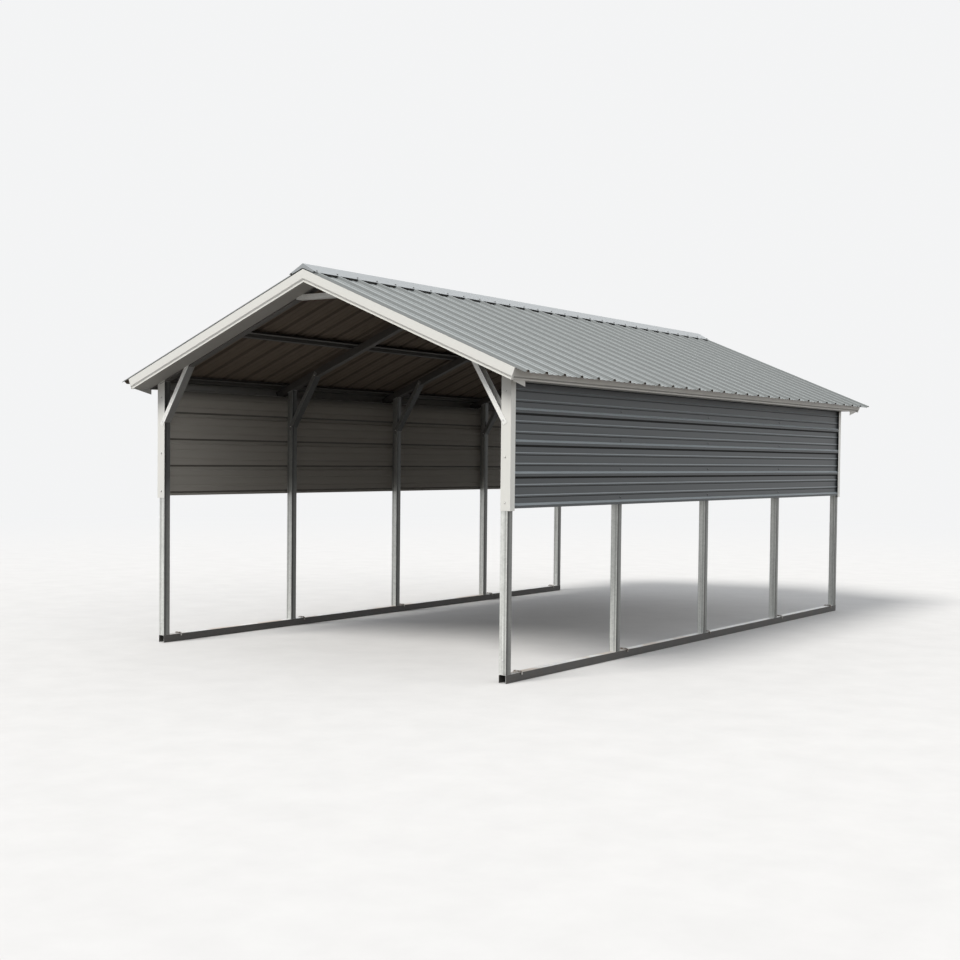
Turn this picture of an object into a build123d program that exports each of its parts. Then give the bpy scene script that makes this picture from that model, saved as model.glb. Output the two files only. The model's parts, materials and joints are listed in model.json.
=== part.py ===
from build123d import *
from math import atan, ceil, cos, sin
import os

# A steel carport: square-tube frames on two base rails, a ribbed sheet roof
# with boxed overhangs, and one ribbed sheet high on each long side.
# +Y runs along the building, the open front faces -Y, and Z 0 is the ground.

# Frame, in millimetres: width and length over the posts, and post height at the outer face
FRAME_WIDTH = 3657.6
FRAME_LENGTH = 6096.0
LEG_HEIGHT = 2200.0
ROOF_SLOPE = 0.40
FRAME_COUNT = 5

# How far the boxed trims stand out past the posts
GABLE_OVERHANG = 178.4
EAVE_OVERHANG = 176.0

# Square tube of the rails, posts and rafters, its corners rolled round
TUBE = 63.5
TUBE_WALL = 2.0
TUBE_CORNER = 5.0

# Ribbed sheet: strong ribs at a fixed pitch with two low ribs between them
SHEET_THICKNESS = 1.2
RIB_SPACING = 228.6
RIB_HEIGHT = 19.0
RIB_TOP = 20.0
RIB_BASE = 52.0
LOW_RIB_HEIGHT = 4.0
LOW_RIB_TOP = 9.0
LOW_RIB_BASE = 24.0
RIB_FREE_LEG = 11.0
BAYS_PER_SHEET = 4
SHEET_SEAM = 0.3

# Roof sheets, along the slope: short of the ridge line, and past the fascia
RIDGE_GAP = 46.0
SHEET_OVERHANG = 98.0

# White trims: a face, a lip set back at its foot, and a leg under the sheets
TRIM_THICKNESS = 1.2
TRIM_DEPTH = 91.0
TRIM_FACE = 64.0
TRIM_LIP_STEP = 8.0
TRIM_LIP_SLANT = 14.0
TRIM_TOP_LEG = 40.0
TRIM_RETURN = 22.0
FIT = 0.3

# Flap folded down where a gable soffit meets the level eave soffit
FLAP_INSET = 8.0
FLAP_DROP = 43.0
FLAP_PAST_POST = 19.0

# Hat channels between the rafters and the roof sheets, set from the ridge and from the fascia
HAT_HEIGHT = 38.1
HAT_TOP = 38.0
HAT_BASE = 62.0
HAT_FLANGE = 22.0
HAT_WALL = 1.5
RIDGE_HAT_RUN = 130.0
EAVE_HAT_INSET = 119.0

# Side sheets, measured down from the eave soffit
WALL_SHEET_HEIGHT = 906.0

# Braces, all of channel that clasps the tubes: knees from post to rafter, and one below each peak
BRACE_DEPTH = 38.0
BRACE_WALL = 2.0
BRACE_LAP = 38.0
KNEE_DROP = 348.0
KNEE_RAFTER_REACH = 293.0
PEAK_DROP = 95.0

# Corner trim over the end posts
CORNER_SIDE_LEG = 55.0
CORNER_DROP = 17.0

# Ridge cap and its folded ends
CAP_LEG = 145.0
CAP_LIFT = 20.0
CAP_END_REACH = 115.0
CAP_END_DROP = 34.0
CAP_END_TIP = 14.0

ANGLE = atan(ROOF_SLOPE)
RUN_COS = cos(ANGLE)
RUN_SIN = sin(ANGLE)
POST_X = FRAME_WIDTH / 2
END_Y = FRAME_LENGTH / 2
RAFTER_TOP = -HAT_HEIGHT
RAFTER_BOTTOM = RAFTER_TOP - TUBE
RIDGE_LEVEL = LEG_HEIGHT + ROOF_SLOPE * POST_X - RAFTER_BOTTOM / RUN_COS
FRAME_STEP = (FRAME_LENGTH - TUBE) / (FRAME_COUNT - 1)
FRAME_Y = [-END_Y + TUBE / 2 + i * FRAME_STEP for i in range(FRAME_COUNT)]

RAKE_Y = END_Y + GABLE_OVERHANG
ROOF_END_Y = RAKE_Y - RIB_BASE / 2
ROOF_BAYS = round(2 * ROOF_END_Y / RIB_SPACING)
ROOF_PITCH = 2 * ROOF_END_Y / ROOF_BAYS

FASCIA_RUN = (POST_X + EAVE_OVERHANG) / RUN_COS
FASCIA_DEPTH = TRIM_DEPTH - TRIM_THICKNESS - FIT
LIP_INSIDE = TRIM_LIP_STEP + TRIM_THICKNESS + FIT
EAVE_HAT_RUN = FASCIA_RUN - EAVE_HAT_INSET
SHEET_LENGTH = FASCIA_RUN + SHEET_OVERHANG - RIDGE_GAP

# Slope frame of the right-hand roof: x down the slope, y along the building, z out
SLOPE = Plane(origin=(0, 0, RIDGE_LEVEL), x_dir=(RUN_COS, 0, -RUN_SIN), z_dir=(RUN_SIN, 0, RUN_COS))
# Cross-section looking down the slope: x along the building, y out of the roof
ACROSS = Plane(origin=(0, 0, RIDGE_LEVEL), x_dir=(0, 1, 0), z_dir=(RUN_COS, 0, -RUN_SIN))
FAR = 10000.0


def slope_point(run, out):
    """X and Z of a point a run down the right-hand slope and out of its surface."""
    return run * RUN_COS + out * RUN_SIN, RIDGE_LEVEL - run * RUN_SIN + out * RUN_COS


def underside_height(out, x):
    """Height, at the distance x from the ridge, of the plane lying out from the sheets."""
    return RIDGE_LEVEL + out / RUN_COS - ROOF_SLOPE * abs(x)


def block(x0, x1, y0, y1, z0, z1):
    """A box between two corners."""
    box = Box(x1 - x0, y1 - y0, z1 - z0, align=(Align.MIN, Align.MIN, Align.MIN))
    return Pos(x0, y0, z0) * box


def slope_block(run0, run1, y0, y1, out0, out1):
    """A box set on the right-hand slope."""
    return SLOPE * block(run0, run1, y0, y1, out0, out1)


def prism(plane, points, length):
    """A straight bar whose section is a polygon in the plane."""
    section = plane * make_face(Polyline(*points, close=True))
    return extrude(section, amount=length, dir=plane.z_dir)


def down_slope(points, run0, run1):
    """A bar down the right-hand slope whose section is given along the building and out."""
    return prism(Plane(ACROSS.location * Pos(0, 0, run0)), points, run1 - run0)


def lengthwise(points, y0, y1):
    """A bar along the building whose section is given in X and Z."""
    plane = Plane(origin=(0, y0, 0), x_dir=(-1, 0, 0), z_dir=(0, 1, 0))
    return prism(plane, [(-x, z) for x, z in points], y1 - y0)


def right_half(shape):
    """The part of a shape to the right of the ridge line."""
    return shape & block(0, FAR, -FAR, FAR, -FAR, FAR)


def beneath_roof(shape, out):
    """The part of a shape that lies below a plane parallel to the right-hand slope."""
    return shape & slope_block(-FAR, FAR, -FAR, FAR, out - FAR, out)


def mirrored(shape):
    """The left-hand twin of a right-hand shape."""
    return mirror(shape, about=Plane.YZ)


def back_twin(shape):
    """The same piece at the back of the building."""
    return mirror(shape, about=Plane.XZ)


def turned(shape):
    """A right-hand shape turned half round, to lie on the left."""
    return Rot(0, 0, 180) * shape


def square_tube(plane, length):
    """A square tube, round outside and cut straight inside its corners, run along the plane's normal."""
    inner = TUBE - 2 * TUBE_WALL
    bore = chamfer(Rectangle(inner, inner).vertices(), TUBE_CORNER - TUBE_WALL)
    section = RectangleRounded(TUBE, TUBE, TUBE_CORNER) - bore
    return extrude(plane * section, amount=length, dir=plane.z_dir)


def right_base_rail():
    """A tube on the ground, its ends open."""
    return square_tube(Plane(origin=(POST_X - TUBE / 2, -END_Y, TUBE / 2), z_dir=(0, 1, 0)), 2 * END_Y)


def right_post(y):
    """A post standing on the base rail, its top cut to the rafter."""
    tube = square_tube(Plane(origin=(POST_X - TUBE / 2, y, TUBE)), RIDGE_LEVEL)
    return beneath_roof(tube, RAFTER_BOTTOM)


def soffit_edge():
    """X and Z of the outer edge of the level eave soffit, at the foot of the fascia's lip."""
    return slope_point(FASCIA_RUN - TRIM_LIP_STEP, -FASCIA_DEPTH)


def right_rafter(y):
    """A rafter from the ridge mitre to the fascia, its tail cut level to sit on the soffit."""
    start = Plane(ACROSS.location * Pos(y, RAFTER_TOP - TUBE / 2, -TUBE))
    tube = square_tube(start, TUBE + FASCIA_RUN - LIP_INSIDE)
    tail = block(POST_X, FAR, -FAR, FAR, -FAR, soffit_edge()[1] + TRIM_THICKNESS)
    return right_half(tube - tail)


def brace_web(length):
    """The web of a channel along +X, its outer face on Z 0."""
    outer = TUBE / 2 + TRIM_THICKNESS + FIT + BRACE_WALL
    return block(0, length, -outer, outer, -BRACE_WALL, 0)


def brace_flanges(length):
    """The flanges of the same channel, wide enough apart to clasp a post and its corner trim."""
    inner = TUBE / 2 + TRIM_THICKNESS + FIT
    outer = inner + BRACE_WALL
    low = block(0, length, -outer, -inner, -BRACE_DEPTH, 0)
    high = block(0, length, inner, outer, -BRACE_DEPTH, 0)
    return low + high


def clear_of_soffits(shape):
    """The part of a right-hand shape that keeps clear of the two gable soffits."""
    gable = slope_block(-FAR, FAR, -FAR, -END_Y, -TRIM_DEPTH - FIT, FAR)
    return shape - gable - back_twin(gable)


def right_knee_brace(y):
    """A channel from post to rafter, its web towards the bay and its flanges lapped on both."""
    post_face = POST_X - TUBE
    low_z = underside_height(RAFTER_BOTTOM, post_face) - KNEE_DROP
    high_z = underside_height(RAFTER_BOTTOM, post_face - KNEE_RAFTER_REACH)
    direction = Vector(-KNEE_RAFTER_REACH, 0, high_z - low_z)
    low_end = Vector(post_face, y, low_z) - direction.normalized() * BRACE_LAP
    line = Plane(origin=low_end, x_dir=direction, z_dir=direction.cross(Vector(0, 1, 0)))
    length = direction.length + 2 * BRACE_LAP
    web = line * brace_web(length) & block(0, post_face, -FAR, FAR, 0, FAR)
    return clear_of_soffits(beneath_roof(web, RAFTER_BOTTOM) + line * brace_flanges(length))


def peak_brace(y):
    """A level channel clasping two rafters below the ridge, its web underneath."""
    reach = PEAK_DROP / ROOF_SLOPE
    low = Vector(0, y, underside_height(RAFTER_BOTTOM, 0) - PEAK_DROP)
    line = Plane(origin=low, x_dir=(1, 0, 0), z_dir=(0, 0, -1))
    web = beneath_roof(line * brace_web(reach), RAFTER_BOTTOM)
    right = clear_of_soffits(web + line * brace_flanges(reach))
    return right + mirrored(right)


def hat_channel(run):
    """A hat-shaped purlin lying on the rafters, run down the slope."""
    low = RAFTER_TOP
    top = HAT_TOP / 2
    base = HAT_BASE / 2
    edge = base + HAT_FLANGE
    wall = HAT_WALL
    inside = [(-edge, low), (-base + wall, low), (-top + wall, -wall),
              (top - wall, -wall), (base - wall, low), (edge, low)]
    outside = [(edge, low + wall), (base, low + wall), (top, 0),
               (-top, 0), (-base, low + wall), (-edge, low + wall)]
    end = RAKE_Y - TRIM_TOP_LEG - FIT
    placed = [slope_point(run + x, z) for x, z in inside + outside]
    return lengthwise(placed, -end, end)


def right_hat_channels():
    middle = (RIDGE_HAT_RUN + EAVE_HAT_RUN) / 2
    return [hat_channel(run) for run in (RIDGE_HAT_RUN, middle, EAVE_HAT_RUN)]


def strong_rib(middle):
    """The sheet's line over one strong rib, foot to foot."""
    return [(middle - RIB_BASE / 2, 0), (middle - RIB_TOP / 2, RIB_HEIGHT),
            (middle + RIB_TOP / 2, RIB_HEIGHT), (middle + RIB_BASE / 2, 0)]


def low_ribs(start, pitch):
    """The sheet's line over the two low ribs of one bay."""
    points = []
    for third in (1, 2):
        middle = start + third * pitch / 3
        points.append((middle - LOW_RIB_BASE / 2, 0))
        points.append((middle - LOW_RIB_TOP / 2, LOW_RIB_HEIGHT))
        points.append((middle + LOW_RIB_TOP / 2, LOW_RIB_HEIGHT))
        points.append((middle + LOW_RIB_BASE / 2, 0))
    return points


def half_open_rib(middle):
    """The sheet's line over the rib at its last edge, whose far flank stops short of the foot."""
    free_run = RIB_FREE_LEG / RIB_HEIGHT * (RIB_BASE - RIB_TOP) / 2
    free_edge = (middle + RIB_TOP / 2 + free_run, RIB_HEIGHT - RIB_FREE_LEG)
    return strong_rib(middle)[:3] + [free_edge]


def sheet_line(bays, pitch, open_rib):
    """A ribbed sheet's lower line. It ends on a half open rib, or at that rib's foot under the next sheet."""
    line = []
    for bay in range(bays):
        line.extend(strong_rib(bay * pitch))
        line.extend(low_ribs(bay * pitch, pitch))
    if open_rib:
        line.extend(half_open_rib(bays * pitch))
    else:
        line.append((bays * pitch - RIB_BASE / 2 - SHEET_SEAM, 0))
    return line


def thickened(line):
    """A closed section from a sheet's lower line."""
    upper = [(x, z + SHEET_THICKNESS) for x, z in line]
    return line + upper[::-1]


def right_roof_sheet(first_bay):
    """One roof sheet, from just short of the ridge to past the fascia."""
    bays = min(BAYS_PER_SHEET, ROOF_BAYS - first_bay)
    start = -ROOF_END_Y + first_bay * ROOF_PITCH
    line = sheet_line(bays, ROOF_PITCH, first_bay + bays == ROOF_BAYS)
    points = [(start + x, z) for x, z in thickened(line)]
    return down_slope(points, RIDGE_GAP, RIDGE_GAP + SHEET_LENGTH)


def wall_bottom():
    """Height of the lower edge of the side sheets."""
    return soffit_edge()[1] - WALL_SHEET_HEIGHT


def right_wall_sheet():
    """The side sheet, its ribs level. It starts on a rib's flat top and is cut off under the soffit."""
    line = sheet_line(ceil(WALL_SHEET_HEIGHT / RIB_SPACING), RIB_SPACING, True)[1:]
    low = wall_bottom() + RIB_TOP / 2
    section = [(POST_X + z, low + x) for x, z in thickened(line)]
    return lengthwise(section, -END_Y, END_Y) & block(0, FAR, -END_Y, END_Y, 0, soffit_edge()[1] - FIT)


def ridge_cap():
    """The folded cap over the ridge: edges on the rib tops, fold lifted, ends folded down."""
    thick = SHEET_THICKNESS
    out = SHEET_THICKNESS + RIB_HEIGHT
    edge_x, edge_z = slope_point(CAP_LEG, out)
    top_z = RIDGE_LEVEL + out / RUN_COS + CAP_LIFT
    points = [(-edge_x, edge_z), (0, top_z), (edge_x, edge_z),
              (edge_x, edge_z + thick), (0, top_z + thick), (-edge_x, edge_z + thick)]
    end = RAKE_Y + FIT + thick
    cap = lengthwise(points, -end, end)
    reach = CAP_END_REACH
    reach_z = top_z - (top_z - edge_z) * reach / edge_x
    flap = [(-reach, reach_z + thick / 2), (0, top_z + thick / 2), (reach, reach_z + thick / 2),
            (reach, reach_z - CAP_END_TIP), (0, top_z - CAP_END_DROP), (-reach, reach_z - CAP_END_TIP)]
    return cap + lengthwise(flap, -end, thick - end) + lengthwise(flap, end - thick, end)


def trim_section(depth):
    """A trim's face and lip, as distances in from the face and heights below the sheets."""
    outer = [(0, 0), (0, -TRIM_FACE), (TRIM_LIP_STEP, -TRIM_FACE - TRIM_LIP_SLANT), (TRIM_LIP_STEP, -depth)]
    inner = [(x + TRIM_THICKNESS, z) for x, z in outer]
    return outer + inner[::-1]


def right_corner_flap():
    """The tapered flap under the front eave corner, hanging from the gable soffit."""
    thick = TRIM_THICKNESS
    edge_x, soffit_z = soffit_edge()
    x = edge_x - FLAP_INSET
    top = underside_height(-TRIM_DEPTH, x) + thick / 2
    front = -RAKE_Y + TRIM_LIP_STEP + thick / 2
    back = -END_Y + FLAP_PAST_POST
    points = [(front, top), (-END_Y, top), (-END_Y, soffit_z - FIT), (back, soffit_z - FIT),
              (back, soffit_z - FLAP_DROP), (front, top - thick)]
    return prism(Plane(origin=(x - thick, 0, 0), x_dir=(0, 1, 0), z_dir=(1, 0, 0)), points, thick)


def right_rake_trim():
    """The front overhang's casing: face and lip, a leg under the sheets and a soffit back to the rafter."""
    thick = TRIM_THICKNESS
    inside_end = FASCIA_RUN - LIP_INSIDE
    outside_end = FASCIA_RUN + FIT + thick
    face = down_slope([(-RAKE_Y + x, z) for x, z in trim_section(TRIM_DEPTH)], -TRIM_DEPTH, outside_end)
    leg = slope_block(-TRIM_DEPTH, inside_end, -RAKE_Y, -RAKE_Y + TRIM_TOP_LEG, -thick, 0)
    low = -TRIM_DEPTH
    soffit = slope_block(low, inside_end, -RAKE_Y + TRIM_LIP_STEP, -END_Y, low, low + thick)
    corner = slope_block(FASCIA_RUN + FIT, outside_end, -RAKE_Y, -RAKE_Y + TRIM_RETURN, -TRIM_DEPTH, 0)
    return right_half(face + leg + soffit + corner) + right_corner_flap()


def right_fascia():
    """The eave's casing: face and lip square to the slope, a leg under the sheets and a level soffit."""
    thick = TRIM_THICKNESS
    reach = RAKE_Y - LIP_INSIDE
    leg_reach = RAKE_Y - TRIM_TOP_LEG - FIT
    edge_x, low = soffit_edge()
    face = lengthwise([slope_point(FASCIA_RUN - x, z) for x, z in trim_section(FASCIA_DEPTH)], -reach, reach)
    leg = slope_block(FASCIA_RUN - TRIM_TOP_LEG, FASCIA_RUN, -leg_reach, leg_reach, -thick, 0)
    soffit = block(POST_X, edge_x, -END_Y, END_Y, low, low + thick)
    return face + leg + soffit


def right_corner_trim():
    """The angle over the front post's corner and the end of the side sheet."""
    thick = TRIM_THICKNESS
    inner_x = POST_X - TUBE
    outer_x = POST_X + RIB_HEIGHT + SHEET_THICKNESS + FIT + thick
    low = wall_bottom() - CORNER_DROP
    front = block(inner_x, outer_x, -END_Y - thick, -END_Y, low, RIDGE_LEVEL)
    front = beneath_roof(front, -TRIM_DEPTH - FIT)
    side_top = soffit_edge()[1] - FIT
    side = block(outer_x - thick, outer_x, -END_Y - thick, -END_Y + CORNER_SIDE_LEG, low, side_top)
    return front + side


def write(name, shapes):
    solids = []
    for shape in shapes:
        solids.extend(shape.solids())
    item = solids[0] if len(solids) == 1 else Compound(children=solids)
    export_step(item, f"parts/{name}.step")


def write_pair(name, shapes, to_left=mirrored):
    """Write a right-hand node and its left-hand twin."""
    write(f"right_{name}", shapes)
    write(f"left_{name}", [to_left(shape) for shape in shapes])


def main():
    os.makedirs("parts", exist_ok=True)
    write_pair("base_rail", [right_base_rail()])
    for number, y in enumerate(FRAME_Y, 1):
        write_pair(f"post_{number}", [right_post(y)])
        write_pair(f"rafter_{number}", [right_rafter(y)])
    write_pair("knee_braces", [right_knee_brace(y) for y in FRAME_Y])
    write("peak_braces", [peak_brace(y) for y in FRAME_Y])
    write_pair("hat_channels", right_hat_channels())
    sheets = [right_roof_sheet(bay) for bay in range(0, ROOF_BAYS, BAYS_PER_SHEET)]
    write_pair("roof_end_sheets", [sheets[0], sheets[-1]], turned)
    write_pair("roof_sheets_even", sheets[1:-1:2], turned)
    write_pair("roof_sheets_odd", sheets[2:-1:2], turned)
    write("ridge_cap", [ridge_cap()])
    write_pair("wall_sheet", [right_wall_sheet()])
    write_pair("fascia", [right_fascia()])
    rake = right_rake_trim()
    corner = right_corner_trim()
    write_pair("front_rake_trim", [rake])
    write_pair("back_rake_trim", [back_twin(rake)])
    write_pair("corner_trims", [corner, back_twin(corner)])


main()
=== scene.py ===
# %% [markdown]
# # A steel carport
#
# The carport is a frame of galvanised square tube under a gable roof of ribbed, painted
# steel sheet. White folded trims box in the overhangs, and one ribbed sheet closes the top
# of each long side. The solids already have their true shape and place. This lesson adds
# the camera, the light, the finishes and the small fittings that hold the steel together.

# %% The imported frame
import json
import math
import random

import bmesh
import bpy
from mathutils import Matrix, Vector


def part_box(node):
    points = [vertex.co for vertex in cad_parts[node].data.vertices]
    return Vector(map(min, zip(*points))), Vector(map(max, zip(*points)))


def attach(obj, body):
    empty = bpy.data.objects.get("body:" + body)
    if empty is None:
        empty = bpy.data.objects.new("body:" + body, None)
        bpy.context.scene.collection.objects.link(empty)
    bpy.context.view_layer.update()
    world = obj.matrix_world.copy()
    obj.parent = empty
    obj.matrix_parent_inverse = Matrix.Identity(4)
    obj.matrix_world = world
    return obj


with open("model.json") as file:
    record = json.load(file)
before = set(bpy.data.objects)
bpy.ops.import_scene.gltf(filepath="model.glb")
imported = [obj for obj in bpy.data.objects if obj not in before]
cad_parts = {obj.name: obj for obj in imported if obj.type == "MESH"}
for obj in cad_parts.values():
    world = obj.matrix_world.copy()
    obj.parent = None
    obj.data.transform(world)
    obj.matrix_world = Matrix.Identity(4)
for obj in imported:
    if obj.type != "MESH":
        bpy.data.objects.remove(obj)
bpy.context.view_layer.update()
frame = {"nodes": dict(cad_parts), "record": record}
nodes = frame["nodes"]

# %% [markdown]
# ## Camera
#
# The camera stands in front of the right-hand corner at eye height and looks along the
# right-hand side. Its place was worked out from the feet of the ten posts, so it is given
# as numbers: a spot, a heading, a slight downward pitch and a small roll. The lens shift
# moves the picture without tilting the camera, which keeps upright lines upright.

# %% Camera at eye height
EYE = Vector((7.557919, -10.979673, 1.613442))
HEADING, PITCH, ROLL = 0.5657638, -0.0313444, 0.0127341
FOCAL_PIXELS, PICTURE = 1376.2782, 960.0
CENTRE = (590.0289, 502.0770)

forward = Vector((-math.sin(HEADING) * math.cos(PITCH), math.cos(HEADING) * math.cos(PITCH),
                  math.sin(PITCH)))
level_right = Vector((math.cos(HEADING), math.sin(HEADING), 0.0))
level_up = level_right.cross(forward)
right = math.cos(ROLL) * level_right + math.sin(ROLL) * level_up
up = -math.sin(ROLL) * level_right + math.cos(ROLL) * level_up

lens = bpy.data.cameras.new("eye_level_camera")
lens.sensor_width = 36.0
lens.lens = FOCAL_PIXELS * lens.sensor_width / PICTURE
lens.shift_x = (PICTURE / 2 - CENTRE[0]) / PICTURE
lens.shift_y = (CENTRE[1] - PICTURE / 2) / PICTURE
lens.clip_end = 400.0
camera = bpy.data.objects.new("eye_level_camera", lens)
turn = Matrix((right, up, -forward)).transposed().to_4x4()
camera.matrix_world = Matrix.Translation(EYE) @ turn
scene = bpy.context.scene
scene.collection.objects.link(camera)
scene.camera = camera
scene.view_settings.view_transform = "Standard"
print("lens mm", round(lens.lens, 2), "shift", round(lens.shift_x, 4), round(lens.shift_y, 4))

# %% [markdown]
# ## Reading the carport
#
# Everything on the roof is placed by how far it lies down the slope, how far along the
# building, and how far out of the sheet. One helper turns those three numbers into a point,
# so that a row of screws or a bead of weld needs no trigonometry of its own. Widths and
# lengths come from the boxes of the solids, and the rest are sizes of the steel itself.

# %% Sizes in metres, and places on the roof
SLOPE = 0.40
RUN_COS = 1 / math.hypot(1, SLOPE)
RUN_SIN = SLOPE * RUN_COS
TUBE, HAT_HEIGHT, LEG_HEIGHT = 0.0635, 0.0381, 2.2
POST_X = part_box("right_post_1")[1].x
FRAME_Y = [sum(corner.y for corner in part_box(f"right_post_{n}")) / 2 for n in range(1, 6)]
RAFTER_UNDERSIDE = HAT_HEIGHT + TUBE
RIDGE = LEG_HEIGHT + SLOPE * POST_X + RAFTER_UNDERSIDE / RUN_COS
SIDES = ((1, "right"), (-1, "left"))


def on_slope(side, run, y, out):
    """A point down the slope, along the building, and out of the sheet's underside."""
    x = side * (run * RUN_COS + out * RUN_SIN)
    return Vector((x, y, RIDGE - run * RUN_SIN + out * RUN_COS))


def slope_normal(side):
    """The direction straight out of the roof."""
    return Vector((side * RUN_SIN, 0.0, RUN_COS))


def rafter_underside(x):
    """Height of the rafters' lower face at a distance from the ridge line."""
    return RIDGE - RAFTER_UNDERSIDE / RUN_COS - SLOPE * abs(x)


print("ridge", round(RIDGE, 3), "posts at", [round(y, 3) for y in FRAME_Y])

# %% [markdown]
# ## Nodes and groups
#
# A material is a small graph of nodes. Writing each node and link out takes many lines, so
# one helper makes a node with its values set, and another sets a socket or joins a second
# one to it. A node group is a graph with named inputs and outputs. It is made once and set
# in many materials, each time with other values.

# %% Helpers for nodes and groups
def add_node(tree, kind, values=None, **settings):
    """A node with its settings, and with plain values in its inputs."""
    node = tree.nodes.new(kind)
    for key, value in settings.items():
        setattr(node, key, value)
    for key, value in (values or {}).items():
        node.inputs[key].default_value = value
    return node


def feed(tree, value, socket):
    """Sets a socket to a plain value, or joins another socket to it."""
    if isinstance(value, (tuple, int, float)):
        socket.default_value = value
    elif value is not None:
        tree.links.new(value, socket)


def new_group(name, inputs, outputs):
    """A node group. inputs are (name, kind, value) and outputs are (name, kind)."""
    tree = bpy.data.node_groups.new(name, "ShaderNodeTree")
    for label, kind, value in inputs:
        socket = tree.interface.new_socket(label, in_out="INPUT", socket_type=kind)
        socket.default_value = value
    for label, kind in outputs:
        tree.interface.new_socket(label, in_out="OUTPUT", socket_type=kind)
    return tree, tree.nodes.new("NodeGroupInput").outputs, tree.nodes.new("NodeGroupOutput").inputs


def place_group(tree, group, **inputs):
    """A group set in a material. Words in an input's name are joined by an underscore here."""
    node = add_node(tree, "ShaderNodeGroup", node_tree=group)
    for key, value in inputs.items():
        feed(tree, value, node.inputs[key.replace("_", " ")])
    return node.outputs


print("node groups so far", len(bpy.data.node_groups))

# %% [markdown]
# ## Values in a graph
#
# A finish is worked out in numbers before it is a colour: masks, tones and heights, most of
# them from 0 to 1. These helpers hold the nodes for that. A Mix node keeps its colour
# sockets behind its number sockets, so they are found by their kind.

# %% Helpers for values and colours
def noise(tree, vector, scale, detail, roughness):
    """A cloudy value round a half."""
    node = add_node(tree, "ShaderNodeTexNoise",
                    {"Scale": scale, "Detail": detail, "Roughness": roughness})
    feed(tree, vector, node.inputs["Vector"])
    return node.outputs["Fac"]


def fit_range(tree, value, low, high, to_low, to_high, smooth=False):
    """Carries low to high over to to_low to to_high, and stays level past both ends."""
    node = add_node(tree, "ShaderNodeMapRange",
                    {"From Min": low, "From Max": high, "To Min": to_low, "To Max": to_high},
                    interpolation_type="SMOOTHSTEP" if smooth else "LINEAR")
    feed(tree, value, node.inputs["Value"])
    return node.outputs["Result"]


def arithmetic(tree, operation, first, second=None):
    """One step of arithmetic or one comparison."""
    node = add_node(tree, "ShaderNodeMath", operation=operation)
    feed(tree, first, node.inputs[0])
    feed(tree, second, node.inputs[1])
    return node.outputs["Value"]


def weighted_sum(tree, *pairs):
    """Adds (value, weight) pairs."""
    total = 0.0
    for value, weight in pairs:
        total = arithmetic(tree, "ADD", arithmetic(tree, "MULTIPLY", value, weight), total)
    return total


def blend_colour(tree, amount, first, second, mode="MIX"):
    """Goes from the first colour to the second, or multiplies them, by an amount."""
    node = add_node(tree, "ShaderNodeMix", data_type="RGBA", blend_type=mode)
    colours = [socket for socket in node.inputs if socket.type == "RGBA"]
    for socket, value in zip([node.inputs[0]] + colours, (amount, first, second)):
        feed(tree, value, socket)
    return [socket for socket in node.outputs if socket.type == "RGBA"][0]


def split_axes(tree, vector):
    """The X, Y and Z of a place or a direction."""
    node = add_node(tree, "ShaderNodeSeparateXYZ")
    feed(tree, vector, node.inputs["Vector"])
    return node.outputs


def stretch(tree, vector, factors):
    """A place multiplied axis by axis. A small factor draws a texture out along that axis."""
    node = add_node(tree, "ShaderNodeVectorMath", operation="MULTIPLY")
    feed(tree, vector, node.inputs[0])
    feed(tree, factors, node.inputs[1])
    return node.outputs["Vector"]


print("worlds and materials so far", len(bpy.data.worlds), len(bpy.data.materials))

# %% [markdown]
# ## Starting a material
#
# Every finish begins alike: a Principled shader with its plain values set, the place of a
# point on the carport, and the way its face points. The solids all share one frame, so a
# place in metres runs on from piece to piece, and no texture has to be unwrapped.

# %% Helpers for materials
def new_material(name, metallic=0.0, roughness=0.5, specular=0.5):
    """A material, its node tree and the inputs of its Principled shader."""
    material = bpy.data.materials.new(name)
    material.use_nodes = True
    tree = material.node_tree
    shader = tree.nodes["Principled BSDF"].inputs
    shader["Metallic"].default_value = metallic
    shader["Roughness"].default_value = roughness
    shader["Specular IOR Level"].default_value = specular
    return material, tree, shader


def object_place(tree):
    """Where on the carport a point lies, in metres."""
    return add_node(tree, "ShaderNodeTexCoord").outputs["Object"]


def surface_normal(tree):
    """The way a face points."""
    return add_node(tree, "ShaderNodeNewGeometry").outputs["Normal"]


def add_bump(tree, shader, height, strength, distance):
    """Bends the shading as if the surface rose and sank by the height."""
    bump = add_node(tree, "ShaderNodeBump", {"Strength": strength, "Distance": distance})
    feed(tree, height, bump.inputs["Height"])
    feed(tree, bump.outputs["Normal"], shader["Normal"])


print("materials of the packed frame", [material.name for material in bpy.data.materials])

# %% [markdown]
# ## Light
#
# Outdoors the sky lights the roof from above, a high sun before the open end lights the
# gable and the post fronts, and little light comes back up from below. The studio does the
# same: an even world that is brighter overhead, one wide soft sun, and a weak and still
# wider lamp that keeps the long side readable.

# %% World and suns
BACKDROP = (0.90, 0.905, 0.91, 1.0)
SKY_LOW, SKY_HIGH = (0.415, 0.42, 0.425, 1.0), (0.64, 0.66, 0.685, 1.0)


def shown_directly(tree):
    """1 for rays that the viewer follows: straight, mirrored or through glass."""
    path = add_node(tree, "ShaderNodeLightPath").outputs
    seen = arithmetic(tree, "MAXIMUM", path["Is Camera Ray"], path["Is Glossy Ray"])
    return arithmetic(tree, "MAXIMUM", seen, path["Is Transmission Ray"])


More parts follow.
